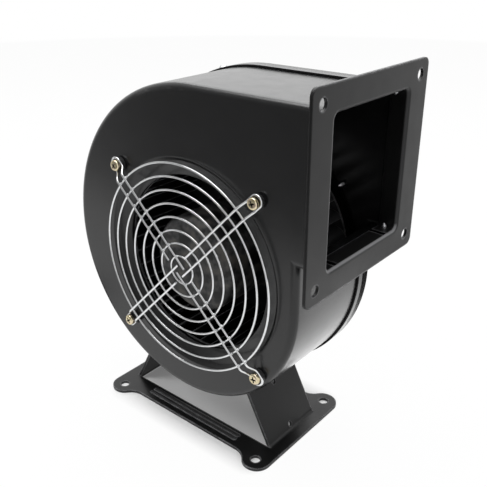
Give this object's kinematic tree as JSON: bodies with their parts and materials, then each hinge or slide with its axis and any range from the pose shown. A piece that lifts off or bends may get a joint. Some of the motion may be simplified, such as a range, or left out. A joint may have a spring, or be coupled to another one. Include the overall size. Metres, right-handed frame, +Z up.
{
  "type": "centrifugal blower",
  "caption": "Pressed-steel scroll blower on a folded stand, with a chromed wire inlet guard, a square outlet flange and a forward-curved impeller on an outer-rotor motor.",
  "frame": {"origin": "middle of the four stand holes, on the underside of the stand", "axes": "+X out of the outlet flange, -Y out of the inlet, +Z up; the impeller axis is parallel to Y"},
  "size_m": [0.2062, 0.114, 0.251],
  "materials": {
    "black_paint": "semi-gloss",
    "dark_paint": "satin",
    "rotor_black": "satin",
    "chrome_wire": "bright",
    "yellow_zinc": "yellow zinc plated",
    "steel": "bright",
    "lamination": "matt",
    "cast_aluminium": "die cast",
    "sintered_bronze": "sintered",
    "enamelled_copper": "enamelled wire",
    "black_rubber": "matt",
    "ivory_plastic": "moulded"
  },
  "bodies": {
    "housing": {"front_shell": "black_paint", "back_cover": "black_paint", "outlet_flange": "dark_paint", "base_stand": "dark_paint", "stand_screws": "steel", "seam_screws": "steel", "guard_rings": "chrome_wire", "guard_legs": "chrome_wire", "guard_spacers": "black_rubber", "guard_screws": "yellow_zinc", "guard_nuts": "steel", "motor_plate": "black_paint", "motor_plate_screws": "steel", "motor_flange": "cast_aluminium", "motor_flange_screws": "steel", "front_bush": "sintered_bronze", "rear_bush": "sintered_bronze", "dust_cap": "black_rubber", "cable_grommet": "black_rubber", "stator_core": "lamination", "stator_insulators": "ivory_plastic", "stator_windings": "enamelled_copper"},
    "rotor": {"rotor_can": "rotor_black", "rotor_core": "lamination", "motor_shaft": "steel", "thrust_washers": "ivory_plastic", "retaining_ring": "steel", "impeller_disc": "rotor_black", "impeller_blades": "rotor_black", "impeller_ring": "rotor_black", "impeller_screws": "steel"}
  },
  "joints": [
    {"name": "impeller_spin", "type": "hinge", "parent": "housing", "child": "rotor", "pos_m": [0.01, 0, 0.125], "axis": [0, 1, 0], "continuous": true}
  ]
}
